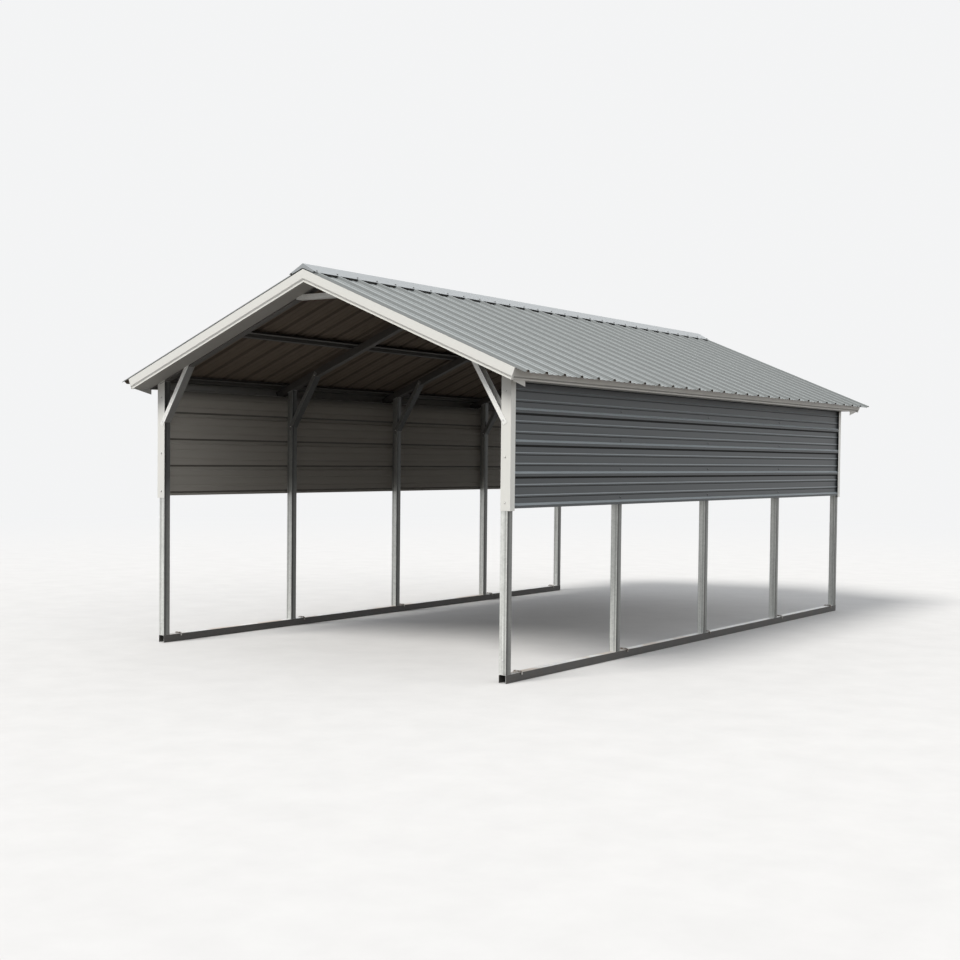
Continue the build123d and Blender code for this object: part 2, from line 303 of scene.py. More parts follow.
world = bpy.data.worlds.new("studio_sky")
world.use_nodes = True
scene.world = world
sky = world.node_tree
upness = split_axes(sky, add_node(sky, "ShaderNodeTexCoord").outputs["Generated"])["Z"]
dome = blend_colour(sky, fit_range(sky, upness, -0.1, 0.9, 0.0, 1.0), SKY_LOW, SKY_HIGH)
seen_sky = blend_colour(sky, shown_directly(sky), dome, BACKDROP)
feed(sky, seen_sky, sky.nodes["Background"].inputs["Color"])

SUN_FROM = Vector((-0.10, -0.61, 0.785))
FILL_FROM = Vector((0.90, -0.10, 0.33))


def add_sun(name, comes_from, energy, degrees, colour):
    """A lamp of even, parallel light. A wide angle gives its shadows soft edges."""
    lamp = bpy.data.lights.new(name, "SUN")
    lamp.energy = energy
    lamp.angle = math.radians(degrees)
    lamp.color = colour
    holder = bpy.data.objects.new(name, lamp)
    holder.rotation_euler = comes_from.to_track_quat("Z", "Y").to_euler()
    scene.collection.objects.link(holder)


add_sun("soft_sun", SUN_FROM, 2.7, 22, (1.0, 0.975, 0.935))
add_sun("side_fill", FILL_FROM, 0.75, 50, (1.0, 0.99, 0.97))
sun_height = math.degrees(math.asin(SUN_FROM.normalized().z))
print("sun height above the floor, degrees", round(sun_height))

# %% [markdown]
# ## Floor
#
# The floor looks pale to the camera but bounces little light, so that the underside of the
# roof and the long side stay in their shade. Its material asks the Light Path node who is
# looking and shows one colour to the camera and another to the light that bounces. Far
# out, it fades into the backdrop, so that no horizon shows.

# %% Floor
FLOOR_SEEN, FLOOR_BOUNCE = (0.700, 0.695, 0.690, 1.0), (0.12, 0.11, 0.10, 1.0)
FADE_FROM, FADE_TO = 5.0, 24.0
FLOOR_REACH = 140.0

floor_material, tree, shader = new_material("pale_floor", roughness=0.9, specular=0.1)
speckle = fit_range(tree, noise(tree, object_place(tree), 3.0, 6.0, 0.6), 0.3, 0.7, 0.97, 1.03)
pale = blend_colour(tree, 1.0, FLOOR_SEEN, speckle, "MULTIPLY")
feed(tree, blend_colour(tree, shown_directly(tree), FLOOR_BOUNCE, pale), shader["Base Color"])
from_middle = add_node(tree, "ShaderNodeVectorMath", operation="LENGTH")
feed(tree, object_place(tree), from_middle.inputs[0])
far_out = fit_range(tree, from_middle.outputs["Value"], FADE_FROM, FADE_TO, 0.0, 1.0, True)
glow = add_node(tree, "ShaderNodeEmission", {"Color": BACKDROP, "Strength": 1.0})
melt = add_node(tree, "ShaderNodeMixShader")
feed(tree, arithmetic(tree, "MULTIPLY", far_out, shown_directly(tree)), melt.inputs["Fac"])
feed(tree, tree.nodes["Principled BSDF"].outputs["BSDF"], melt.inputs[1])
feed(tree, glow.outputs["Emission"], melt.inputs[2])
feed(tree, melt.outputs["Shader"], tree.nodes["Material Output"].inputs["Surface"])

shape = bmesh.new()
bmesh.ops.create_grid(shape, x_segments=4, y_segments=4, size=FLOOR_REACH)
floor_mesh = bpy.data.meshes.new("studio_floor")
shape.to_mesh(floor_mesh)
shape.free()
floor = bpy.data.objects.new("studio_floor", floor_mesh)
floor_mesh.materials.append(floor_material)
scene.collection.objects.link(floor)
print("floor reaches", FLOOR_REACH, "m and fades from", FADE_FROM, "to", FADE_TO, "m")

# %% [markdown]
# ## Zinc
#
# Hot-dip galvanised steel has spangle: flat zinc crystals from a few millimetres to a
# couple of centimetres across, each a little lighter or darker than its neighbours. A
# Voronoi texture gives one random value per cell, which is just what a crystal is. A
# larger one breaks up the regularity. Rolling also leaves draw lines that run the whole
# length of a tube, so the same group adds noise that is stretched along the steel.

# %% Spangle group
zinc_group, given, result = new_group(
    "zinc_spangle",
    [("Vector", "NodeSocketVector", (0.0, 0.0, 0.0)),
     ("Grain", "NodeSocketVector", (60.0, 60.0, 1.5)),
     ("Crystals per metre", "NodeSocketFloat", 70.0),
     ("Contrast", "NodeSocketFloat", 0.25),
     ("Draw lines", "NodeSocketFloat", 0.2)],
    [("Tone", "NodeSocketFloat"), ("Height", "NodeSocketFloat")])


def crystals(tree, vector, scale):
    """One random value for each cell of a Voronoi texture."""
    cell = add_node(tree, "ShaderNodeTexVoronoi", voronoi_dimensions="3D", feature="F1")
    feed(tree, vector, cell.inputs["Vector"])
    feed(tree, scale, cell.inputs["Scale"])
    value = add_node(tree, "ShaderNodeSeparateColor")
    feed(tree, cell.outputs["Color"], value.inputs["Color"])
    return value.outputs["Red"]


LARGE_CRYSTALS = 0.37
vector, small_scale = given["Vector"], given["Crystals per metre"]
large_scale = arithmetic(zinc_group, "MULTIPLY", small_scale, LARGE_CRYSTALS)
spangle = weighted_sum(zinc_group, (crystals(zinc_group, vector, small_scale), 0.45),
                       (crystals(zinc_group, vector, large_scale), 0.25),
                       (noise(zinc_group, vector, 6.0, 3.0, 0.6), 0.3))
lines = noise(zinc_group, stretch(zinc_group, vector, given["Grain"]), 1.0, 3.0, 0.55)
spangle_swing = arithmetic(zinc_group, "SUBTRACT", spangle, 0.5)
line_swing = arithmetic(zinc_group, "SUBTRACT", lines, 0.5)
tone = weighted_sum(zinc_group, (spangle_swing, given["Contrast"]),
                    (line_swing, given["Draw lines"]), (1.0, 1.0))
feed(zinc_group, tone, result["Tone"])
feed(zinc_group, weighted_sum(zinc_group, (spangle, 0.6), (lines, 0.4)), result["Height"])
print(zinc_group.name, len(zinc_group.nodes), "nodes")

# %% [markdown]
# ## Dust and splashes
#
# Rain throws soil at the sides of whatever stands near the ground, and dust settles on
# faces that look up. One group gives both as one mask: it reads the height above the
# ground and the way a face points, and breaks the edge of the mask with noise so that it
# never reads as a line.

# %% Dirt group
dirt_group, given, result = new_group(
    "ground_dirt",
    [("Vector", "NodeSocketVector", (0.0, 0.0, 0.0)),
     ("Normal", "NodeSocketVector", (0.0, 0.0, 1.0)),
     ("Splash height", "NodeSocketFloat", 0.35),
     ("Splash", "NodeSocketFloat", 0.5),
     ("Dust", "NodeSocketFloat", 0.2)],
    [("Mask", "NodeSocketFloat")])
low_down = add_node(dirt_group, "ShaderNodeMapRange",
                    {"From Min": 0.0, "To Min": 1.0, "To Max": 0.0},
                    interpolation_type="SMOOTHSTEP")
feed(dirt_group, split_axes(dirt_group, given["Vector"])["Z"], low_down.inputs["Value"])
feed(dirt_group, given["Splash height"], low_down.inputs["From Max"])
upward = split_axes(dirt_group, given["Normal"])["Z"]
looks_up = fit_range(dirt_group, upward, 0.3, 1.0, 0.0, 1.0, True)
not_up = arithmetic(dirt_group, "SUBTRACT", 1.0, looks_up)
clouds = noise(dirt_group, given["Vector"], 14.0, 5.0, 0.65)
blotches = fit_range(dirt_group, clouds, 0.35, 0.65, 0.35, 1.0)
grit = noise(dirt_group, given["Vector"], 90.0, 3.0, 0.6)
specks = fit_range(dirt_group, grit, 0.3, 0.7, 0.6, 1.0)
broken = arithmetic(dirt_group, "MULTIPLY", blotches, specks)
splash = arithmetic(dirt_group, "MULTIPLY", low_down.outputs["Result"], given["Splash"])
splash = arithmetic(dirt_group, "MULTIPLY", splash, not_up)
dust = arithmetic(dirt_group, "MULTIPLY", looks_up, given["Dust"])
settled = arithmetic(dirt_group, "MAXIMUM", splash, dust)
feed(dirt_group, arithmetic(dirt_group, "MULTIPLY", settled, broken), result["Mask"])
print(dirt_group.name, len(dirt_group.nodes), "nodes")

# %% [markdown]
# ## Sheet ripple and rain streaks
#
# Paint on coil sheet is even, but the steel is not: the pans ripple slightly between
# fasteners, which shows as slow waves in the shine, and rain leaves faint streaks down the
# fall of the sheet. The group takes a stretch for each axis, so that one group serves roof
# sheets, side sheets and trims.

# %% Sheet ripple group
ripple_group, given, result = new_group(
    "sheet_ripple",
    [("Vector", "NodeSocketVector", (0.0, 0.0, 0.0)),
     ("Stretch", "NodeSocketVector", (1.0, 1.0, 1.0)),
     ("Streaks", "NodeSocketFloat", 0.08)],
    [("Tone", "NodeSocketFloat"), ("Height", "NodeSocketFloat")])
drawn_out = stretch(ripple_group, given["Vector"], given["Stretch"])
mixed = weighted_sum(ripple_group, (noise(ripple_group, drawn_out, 9.0, 4.0, 0.6), 0.6),
                     (noise(ripple_group, given["Vector"], 1.3, 2.0, 0.5), 0.4))
swing = arithmetic(ripple_group, "SUBTRACT", mixed, 0.5)
swing = arithmetic(ripple_group, "MULTIPLY", swing, given["Streaks"])
feed(ripple_group, arithmetic(ripple_group, "ADD", swing, 1.0), result["Tone"])
feed(ripple_group, noise(ripple_group, drawn_out, 2.2, 1.0, 0.4), result["Height"])
print(ripple_group.name, len(ripple_group.nodes), "nodes")

# %% [markdown]
# ## Painted light and shade by the way a face points
#
# Light falls differently on the faces of a piece, and this group paints that light and
# shade into the colour. On a side sheet the upper flank of each rib gets a painted
# highlight, and the lower flank a painted shade. On a roof sheet the flanks of the ribs get
# painted shade, and on a post, a brace and a rail the faces along the row get painted shade
# against the front. One group turns a direction into a tone: one value for faces that
# point the positive way, and another for the negative way.

# %% Facing group
facing_group, given, result = new_group(
    "painted_light_by_facing",
    [("Facing", "NodeSocketFloat", 0.0),
     ("Starts at", "NodeSocketFloat", 0.1),
     ("Full at", "NodeSocketFloat", 0.5),
     ("Positive tone", "NodeSocketFloat", 1.0),
     ("Negative tone", "NodeSocketFloat", 1.0)],
    [("Tone", "NodeSocketFloat")])


def facing_ramp(sign, tone_name):
    """1 where the face is neutral, going to the named tone on one side."""
    ramp = add_node(facing_group, "ShaderNodeMapRange", {"To Min": 1.0},
                    interpolation_type="SMOOTHSTEP")
    signed = arithmetic(facing_group, "MULTIPLY", given["Facing"], sign)
    feed(facing_group, signed, ramp.inputs["Value"])
    feed(facing_group, given["Starts at"], ramp.inputs["From Min"])
    feed(facing_group, given["Full at"], ramp.inputs["From Max"])
    feed(facing_group, given[tone_name], ramp.inputs["To Max"])
    return ramp.outputs["Result"]


both = arithmetic(facing_group, "MULTIPLY", facing_ramp(1.0, "Positive tone"),
                  facing_ramp(-1.0, "Negative tone"))
feed(facing_group, both, result["Tone"])
print(facing_group.name, len(facing_group.nodes), "nodes")

# %% [markdown]
# ## Painted reflection bands on a post
#
# Square tube is rolled from strip, and its faces come out slightly hollow, so they mirror
# their surroundings in bands. These bands are painted into the colour: a grey painted
# reflection band from top to bottom on the front of a post, and painted shade on its side,
# darkest near the front corner and slightly lightened further back. Both can be made from
# the distance to an upright line: the front band from X, and the side's from Y. Wrapping Y
# by one bay gives every post the same band with one node.

# %% Upright bands
BAY = FRAME_Y[1] - FRAME_Y[0]
BAND_X = POST_X - 0.017
BAND_CORE, BAND_EDGE, BAND_TONE = 0.004, 0.011, 0.70
SIDE_DARK_Y, SIDE_LIGHT_Y, SIDE_TONES = -0.026, 0.004, (0.38, 1.10)


def painted_reflection_bands(tree, place, normal):
    """Painted reflection and shade on a post: a grey band on its front, a dark edge on its side.
    """
    spot, facing = split_axes(tree, place), split_axes(tree, normal)
    from_band = arithmetic(tree, "SUBTRACT", arithmetic(tree, "ABSOLUTE", spot["X"]), BAND_X)
    from_band = arithmetic(tree, "ABSOLUTE", from_band)
    front_band = fit_range(tree, from_band, BAND_CORE, BAND_EDGE, BAND_TONE, 1.0, True)
    in_bay = add_node(tree, "ShaderNodeMath", {1: BAY / 2, 2: -BAY / 2}, operation="WRAP")
    feed(tree, spot["Y"], in_bay.inputs[0])
    side_band = fit_range(tree, in_bay.outputs["Value"], SIDE_DARK_Y, SIDE_LIGHT_Y,
                          *SIDE_TONES, True)
    along_row = arithmetic(tree, "ABSOLUTE", facing["X"])
    sideways = fit_range(tree, along_row, 0.4, 0.9, 0.0, 1.0, True)
    frontal = arithmetic(tree, "SUBTRACT", 1.0, sideways)
    return weighted_sum(tree, (front_band, frontal), (side_band, sideways))


print("bands repeat every", round(BAY, 3), "m")

# %% [markdown]
# ## Clay on the rails
#
# Boots leave tan clay on top of the rails, in patches and not everywhere. A slow noise
# gives the patches, and two masks keep them on the outside of the upper face: one for
# faces that look up, and one for height, because the floor of a rail's bore looks up too.

# %% Clay patches
CLAY = (0.52, 0.37, 0.25, 1.0)
CLAY_ABOVE = 0.95 * TUBE


def clay_patches(tree, place, normal, strength):
    """Patches on the rails' upper faces, but not in their bores."""
    patches = fit_range(tree, noise(tree, place, 1.4, 5.0, 0.6), 0.52, 0.62, 0.0, strength, True)
    looks_up = fit_range(tree, split_axes(tree, normal)["Z"], 0.5, 0.9, 0.0, 1.0, True)
    on_top = arithmetic(tree, "GREATER_THAN", split_axes(tree, place)["Z"], CLAY_ABOVE)
    outside = arithmetic(tree, "MULTIPLY", looks_up, on_top)
    return arithmetic(tree, "MULTIPLY", patches, outside)


print("clay lies above", round(CLAY_ABOVE, 4), "m")

# %% [markdown]
# ## Galvanised steel
#
# Bright zinc is a metal, but weathered zinc carries a thin matt skin that scatters light
# like chalk, so the shader is only partly metallic. The finish is its colour times four
# tones: the spangle, a painted shade on the faces along the row, a painted shade over a
# span of height or length, and the painted reflection bands. Clay and dirt go over it,
# and where dirt lies the surface is rough and no longer metallic.

# %% One zinc finish
SOIL = (0.085, 0.07, 0.058, 1.0)
SPLASH_HEIGHT = 0.22
# This span keeps the tone at 1, so it paints no shade.
NO_SPAN_SHADE = ("Z", 1.15, 1.45, 1.0)


def galvanised(name, colour, grain, roughness=0.42, crystals_per_metre=85.0, contrast=0.30,
               lines=0.35, splash=0.0, metallic=0.30, side_shade_tone=1.0, shade_span=NO_SPAN_SHADE,
               clay=0.0, bands=False):
    """A zinc finish. side_shade_tone and shade_span (axis, start, full, tone) paint shade."""
    material, tree, shader = new_material(name, specular=0.35)
    place = object_place(tree)
    normal = surface_normal(tree)
    zinc = place_group(tree, zinc_group, Vector=place, Grain=grain,
                       Crystals_per_metre=crystals_per_metre, Contrast=contrast, Draw_lines=lines)
    dirt = place_group(tree, dirt_group, Vector=place, Normal=normal,
                       Splash_height=SPLASH_HEIGHT, Splash=splash, Dust=0.06)["Mask"]
    # Painted shade on the faces along the row.
    sides = place_group(tree, facing_group, Facing=split_axes(tree, normal)["X"],
                        Starts_at=0.4, Full_at=0.9,
                        Positive_tone=side_shade_tone, Negative_tone=side_shade_tone)["Tone"]
    # Painted shade over a span along one axis, such as the upper posts under the roof.
    axis, shade_start, shade_full, span_shade_tone = shade_span
    reach = arithmetic(tree, "ABSOLUTE", split_axes(tree, place)[axis])
    span_shade = fit_range(tree, reach, shade_start, shade_full, 1.0, span_shade_tone, True)
    tone = arithmetic(tree, "MULTIPLY", zinc["Tone"], arithmetic(tree, "MULTIPLY", sides, span_shade))
    # Painted reflection bands on the posts.
    if bands:
        tone = arithmetic(tree, "MULTIPLY", tone, painted_reflection_bands(tree, place, normal))
    base = blend_colour(tree, 1.0, colour, tone, "MULTIPLY")
    if clay:
        base = blend_colour(tree, clay_patches(tree, place, normal, clay), base, CLAY)
    feed(tree, blend_colour(tree, dirt, base, SOIL), shader["Base Color"])
    rough = fit_range(tree, zinc["Height"], 0.2, 0.8, roughness - 0.08, roughness + 0.08)
    rough = arithmetic(tree, "MAXIMUM", rough, arithmetic(tree, "MULTIPLY", dirt, 0.9))
    feed(tree, rough, shader["Roughness"])
    feed(tree, fit_range(tree, dirt, 0.0, 1.0, metallic, 0.0), shader["Metallic"])
    add_bump(tree, shader, zinc["Height"], 0.25, 0.0006)
    return material


print("soil splashes reach", SPLASH_HEIGHT, "m up")

# %% [markdown]
# ## Tube and channel finishes
#
# The posts and rails are bright tube. Rafters are the same tube, but they stand in the
# roof's shade, and that shade is painted into their colour, which is far darker; the
# purlins get the same painted shade. The braces in the two gables get a brighter colour, a
# painted light against the overhang's shadow, while the inner braces and the upper posts
# get painted shade, and the rails' sides a painted shade. All get the same groups with
# other values, and the draw lines follow each piece: up a post, along a rail and along a
# rafter, where the grain's factor is small.

# %% Post, rail, rafter, brace and purlin finishes
ALONG_X, ALONG_Y, ALONG_Z = (2.0, 70.0, 2.0), (70.0, 2.0, 70.0), (70.0, 70.0, 2.0)
# Posts: painted reflection bands, painted shade on their sides and on their upper part under the
# roof.
post_zinc = galvanised("galvanised_post", (0.70, 0.715, 0.69, 1.0), ALONG_Z, lines=0.85,
                       splash=0.06, bands=True, side_shade_tone=0.31,
                       shade_span=("Z", 1.15, 1.45, 0.45))
# Rails: a bright colour with painted shade on their sides.
rail_zinc = galvanised("galvanised_rail", (0.88, 0.89, 0.88, 1.0), ALONG_Y, lines=0.50,
                       splash=0.45, side_shade_tone=0.10, clay=0.55)
# Rafters: a dark colour that is the painted shade of the roof over them.
rafter_zinc = galvanised("galvanised_rafter", (0.092, 0.087, 0.081, 1.0), ALONG_X,
                         roughness=0.62, metallic=0.05)
# Braces: a near-white colour, a painted light on the gable braces; the inner braces get painted
# shade.
brace_zinc = galvanised("galvanised_brace", (0.92, 0.925, 0.90, 1.0), ALONG_X, roughness=0.52,
                        crystals_per_metre=140.0, contrast=0.22, metallic=0.08, side_shade_tone=0.23,
                        shade_span=("Y", 2.97, 2.90, 0.25))
# Purlins: a dark colour that is the painted shade of the roof over them.
purlin_zinc = galvanised("galvanised_purlin", (0.085, 0.082, 0.077, 1.0), ALONG_Y,
                         roughness=0.64, crystals_per_metre=140.0, contrast=0.22, metallic=0.06)
zinc_finishes = (post_zinc, rail_zinc, rafter_zinc, brace_zinc, purlin_zinc)
print("zinc finishes", [finish.name for finish in zinc_finishes])

# %% [markdown]
# ## Painted sheet and trim
#
# The show side of the sheet is satin paint, and the other side has a matt backing coat of
# a duller colour, which on the roof, the ridge cap and the trims' soffits is painted dark
# as a painted shade. Each material looks at which way its face points and picks one or
# the other, for the roughness as well as for the colour. The flanks of the ribs get
# painted light and shade of their own on each side, rougher where the painted shade is
# deep, and the top of a side sheet gets a painted shade under the eave.

# %% Paint with a show side and a backing side
EAVE_SHADE_FROM, EAVE_SHADE_TO = 2.06, 2.17


def painted(name, outer, inner, shows, factors, roughness=0.38, streaks=0.2, ripple=0.004,
            specular=0.35, dust=0.10, across="Z", flank_light_tones=(1.0, 1.0),
            groove_light_tones=(1.0, 1.0), under_eave=1.0):
    """A painted finish. shows gives 1 on the show side and 0 on the backing side."""
    material, tree, shader = new_material(name, specular=specular)
    place = object_place(tree)
    normal = surface_normal(tree)
    ripples = place_group(tree, ripple_group, Vector=place, Stretch=factors, Streaks=streaks)
    dirt = place_group(tree, dirt_group, Vector=place, Normal=normal, Splash_height=0.05,
                       Splash=0.0, Dust=dust)["Mask"]
    side = shows(tree, normal, place)
    facing = split_axes(tree, normal)[across]
    # Painted light and shade on the rib flanks of the show side, and painted shade in the grooves
    # of the backing side.
    flanks = place_group(tree, facing_group, Facing=facing, Starts_at=0.06, Full_at=0.70,
                         Positive_tone=flank_light_tones[0], Negative_tone=flank_light_tones[1])["Tone"]
    grooves = place_group(tree, facing_group, Facing=facing, Starts_at=0.52, Full_at=0.72,
                          Positive_tone=groove_light_tones[0], Negative_tone=groove_light_tones[1])["Tone"]
    backing = arithmetic(tree, "SUBTRACT", 1.0, side)
    flanks = weighted_sum(tree, (flanks, side), (grooves, backing))
    eave_shade = fit_range(tree, split_axes(tree, place)["Z"], EAVE_SHADE_FROM, EAVE_SHADE_TO,
                           1.0, under_eave, True)
    tone = arithmetic(tree, "MULTIPLY", flanks, eave_shade)
    tone = arithmetic(tree, "MULTIPLY", ripples["Tone"], tone)
    colour = blend_colour(tree, 1.0, blend_colour(tree, side, inner, outer), tone, "MULTIPLY")
    feed(tree, blend_colour(tree, dirt, colour, SOIL), shader["Base Color"])
    satin = fit_range(tree, ripples["Tone"], 0.9, 1.1, roughness - 0.05, roughness + 0.08)
    matt = arithmetic(tree, "MULTIPLY", backing, 0.85)
    # Rougher where the painted shade on the flanks is deep.
    rough_where_shaded = fit_range(tree, flanks, 0.2, 0.8, 0.95, 0.0)
    rough = arithmetic(tree, "MAXIMUM", arithmetic(tree, "MAXIMUM", satin, matt), rough_where_shaded)
    feed(tree, rough, shader["Roughness"])
    add_bump(tree, shader, ripples["Height"], 0.6, ripple)
    return material


print("eave shade from", EAVE_SHADE_FROM, "to", EAVE_SHADE_TO, "m up")

# %% [markdown]
# ## Which side of the sheet is it?
#
# A thin sheet has the same material on both sides, so the finish works out the side from
# the direction of the face. A roof sheet's show side looks up. A side sheet's looks away
# from the middle of the building, where direction and place have the same sign. Every face
# of a trim shows, but for faces that look into the building, and for soffits, which look
# down and take mostly the grey backing colour as a painted shade.

# %% Directions of show sides
# Soffits take mostly the grey backing colour, which is a painted shade.
SOFFIT_SHARE = 0.2


def looks_skyward(tree, normal, place):
    """1 where a roof sheet's face points up, its steep flanks too."""
    return arithmetic(tree, "GREATER_THAN", split_axes(tree, normal)["Z"], -0.02)


def looks_outward(tree, normal, place):
    """1 where a side sheet's face points away from the middle of the building."""
    facing, spot = split_axes(tree, normal), split_axes(tree, place)
    product = arithmetic(tree, "MULTIPLY", facing["X"], spot["X"])
    return arithmetic(tree, "GREATER_THAN", product, 0.0)


def looks_out_of_trim(tree, normal, place):
    """1 on a trim's show faces, a small share on soffits for painted shade, 0 on faces inwards."""
    facing, spot = split_axes(tree, normal), split_axes(tree, place)
    outward = weighted_sum(tree, (facing["X"], spot["X"]), (facing["Y"], spot["Y"]))
    soffit = arithmetic(tree, "LESS_THAN", facing["Z"], -0.6)
    upright = arithmetic(tree, "SUBTRACT", 1.0, soffit)
    shows = arithmetic(tree, "GREATER_THAN", outward, -0.3)
    return weighted_sum(tree, (soffit, SOFFIT_SHARE), (upright, shows))


print("soffits take", SOFFIT_SHARE, "of the show colour")

# %% [markdown]
# ## Sheet and trim finishes
#
# Roof, ridge cap and side sheets are grey, and the trims are white. Rain streaks run down
# the roof, so the ripple is drawn out down the slope and tight along the building, and on
# the side sheets it is drawn out along the ribs.

# %% Roof, ridge cap, side sheet and trim paint
DOWN_ROOF, ALONG_WALL, EVEN = (0.25, 3.0, 0.25), (1.0, 0.25, 4.0), (0.6, 0.6, 0.6)
# The roof's rib flanks and the grooves beneath get painted shade. The dark brown backing colours
# of roof and cap are painted shade of the roof's underside.
roof_paint = painted("roof_sheet_paint", (0.335, 0.363, 0.366, 1.0), (0.150, 0.120, 0.092, 1.0),
                     looks_skyward, DOWN_ROOF, across="Y",
                     flank_light_tones=(0.45, 0.45), groove_light_tones=(0.78, 0.78))
cap_paint = painted("ridge_cap_paint", (0.365, 0.39, 0.405, 1.0), (0.135, 0.112, 0.088, 1.0),
                    looks_skyward, DOWN_ROOF, across="Y")
# The side sheet's ribs get a painted highlight on their upper flanks and painted shade on their
# lower flanks; inside, the grooves get painted shade, and the top a painted shade under the eave.
wall_paint = painted("wall_sheet_paint", (0.073, 0.081, 0.086, 1.0), (0.37, 0.355, 0.325, 1.0),
                     looks_outward, ALONG_WALL, dust=0.0, flank_light_tones=(4.8, 0.02),
                     groove_light_tones=(1.12, 0.36), under_eave=0.30)
# The trim's grey backing colour is painted shade on the soffits, and the backing coat on faces
# that look inwards.
trim_paint = painted("white_trim_paint", (0.82, 0.82, 0.785, 1.0), (0.38, 0.375, 0.36, 1.0),
                     looks_out_of_trim, EVEN, roughness=0.34, streaks=0.06, ripple=0.002)
paint_finishes = (roof_paint, cap_paint, wall_paint, trim_paint)
print("paint finishes", [finish.name for finish in paint_finishes])

# %% [markdown]
# ## Finishes on the solids
#
# The record gives each solid a slot, such as tube or roof sheet. A slot holds more than one
# finish here, so a piece's name picks the right one within its slot.

# %% A finish for each solid
def finish_of(node, slot):
    """The finish of a solid, by its name and by its slot in the record."""
    if slot == "galvanised_tube":
        return rail_zinc if "rail" in node else post_zinc if "post" in node else rafter_zinc
    if slot == "galvanised_channel":
        return brace_zinc if "brace" in node else purlin_zinc
    if node == "ridge_cap":
        return cap_paint
    by_slot = {"grey_roof_sheet": roof_paint, "grey_wall_sheet": wall_paint,
               "white_trim": trim_paint}
    return by_slot[slot]


for part in frame["record"]["subparts"]:
    slots = nodes[part["node"]].data.materials
    slots.clear()
    slots.append(finish_of(part["node"], part["material_slot"]))

# %% [markdown]
# ## Fitting finishes
#
# Screw heads in sheets and trims are painted to match, over black rubber washers. Screws in
# the frame are plain zinc without washers. Weld beads are brushed over with a matt
# zinc-rich paint. The ground anchors are bare bar that has begun to rust, so rust gathers
# where a noise is high.

# %% Rubber, screw zinc, zinc-rich paint and rusty bar
def speckled(name, first, second, scale, low, high, metallic=0.0, roughness=0.6):
    """A plain finish of two colours that a noise mixes, rougher where the second shows."""
    material, tree, shader = new_material(name, metallic=metallic, specular=0.3)
    mask = fit_range(tree, noise(tree, object_place(tree), scale, 5.0, 0.65), low, high, 0.0, 1.0)
    feed(tree, blend_colour(tree, mask, first, second), shader["Base Color"])
    rough = fit_range(tree, mask, 0.0, 1.0, roughness - 0.1, roughness + 0.15)
    feed(tree, rough, shader["Roughness"])
    add_bump(tree, shader, mask, 0.3, 0.0005)
    return material


rubber = speckled("black_rubber", (0.012, 0.012, 0.012, 1.0), (0.03, 0.028, 0.026, 1.0),
                  60.0, 0.3, 0.7)
screw_zinc = speckled("screw_zinc", (0.82, 0.83, 0.83, 1.0), (0.60, 0.60, 0.59, 1.0),
                      90.0, 0.4, 0.7, metallic=0.3, roughness=0.35)
weld_paint = speckled("zinc_rich_paint", (0.40, 0.405, 0.405, 1.0), (0.28, 0.275, 0.26, 1.0),
                      120.0, 0.4, 0.7)
anchor_steel = speckled("rusty_bar", (0.50, 0.49, 0.47, 1.0), (0.12, 0.075, 0.05, 1.0),
                        45.0, 0.44, 0.60, metallic=0.4, roughness=0.45)
fitting_finishes = (rubber, screw_zinc, weld_paint, anchor_steel)
print("fitting finishes", [finish.name for finish in fitting_finishes])

# %% [markdown]
# ## Making small steel pieces
#
# Screws, weld beads and anchor bars are round things that repeat. A screw is turned as on
# a lathe: rings of points are stacked along its axis and joined. A weld bead or a bent bar
# is the same idea along a path. Each whole row of fittings is one mesh, which is light.

# %% Lathe and sweep helpers
def square_to(axis):
    """Two directions square to an axis."""
    helper = Vector((0, 0, 1)) if abs(axis.normalized().z) < 0.9 else Vector((0, 1, 0))
    first = axis.cross(helper).normalized()
    return first, axis.cross(first).normalized()


def close_rings(shape, rings):
    """Faces between neighbouring rings of points, and a cap at each end."""
    for low, high in zip(rings, rings[1:]):
        for i in range(len(low)):
            j = (i + 1) % len(low)
            shape.faces.new((low[i], low[j], high[j], high[i]))
    shape.faces.new(rings[0][::-1])
    shape.faces.new(rings[-1])


def ring_of(shape, centre, first, second, radius, sides, spin=0.0):
    """A ring of points round a centre, in the plane of two directions."""
    points = []
    for k in range(sides):
        angle = spin + 2 * math.pi * k / sides
        outward = first * math.cos(angle) + second * math.sin(angle)
        points.append(shape.verts.new(centre + radius * outward))
    return points


def turn_on_lathe(shape, foot, axis, profile, sides, spin=0.0):
    """A solid of rings: profile gives (radius, height) from the foot up."""
    first, second = square_to(axis)
    rings = [ring_of(shape, foot + axis * height, first, second, radius, sides, spin)
             for radius, height in profile]
    close_rings(shape, rings)


def sweep(shape, path, radii, sides):
    """A round bar along a path, with one radius for each point."""
    rings = []
    first = square_to(path[1] - path[0])[0]
    for i, point in enumerate(path):
        ahead = (path[min(i + 1, len(path) - 1)] - path[max(i - 1, 0)]).normalized()
        first = (first - ahead * first.dot(ahead)).normalized()
        rings.append(ring_of(shape, point, first, ahead.cross(first), radii[i], sides))
    close_rings(shape, rings)


print("square to straight up", *square_to(Vector((0, 0, 1))))

# %% [markdown]
# ## From shape to fitting
#
# A built shape still has to become an object. Its faces are turned outward and it gets its
# finish. Then it is tied to the carport's one body, so that it goes along wherever the
# carport is put.

# %% Finishing a piece
def finish_piece(name, shape, material):
    """Turns a built shape into an object that belongs to the carport."""
    bmesh.ops.recalc_face_normals(shape, faces=shape.faces)
    mesh = bpy.data.meshes.new(name)
    shape.to_mesh(mesh)
    shape.free()
    piece = bpy.data.objects.new(name, mesh)
    scene.collection.objects.link(piece)
    mesh.materials.append(material)
    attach(piece, "root")
    print(name, len(mesh.polygons), "faces")


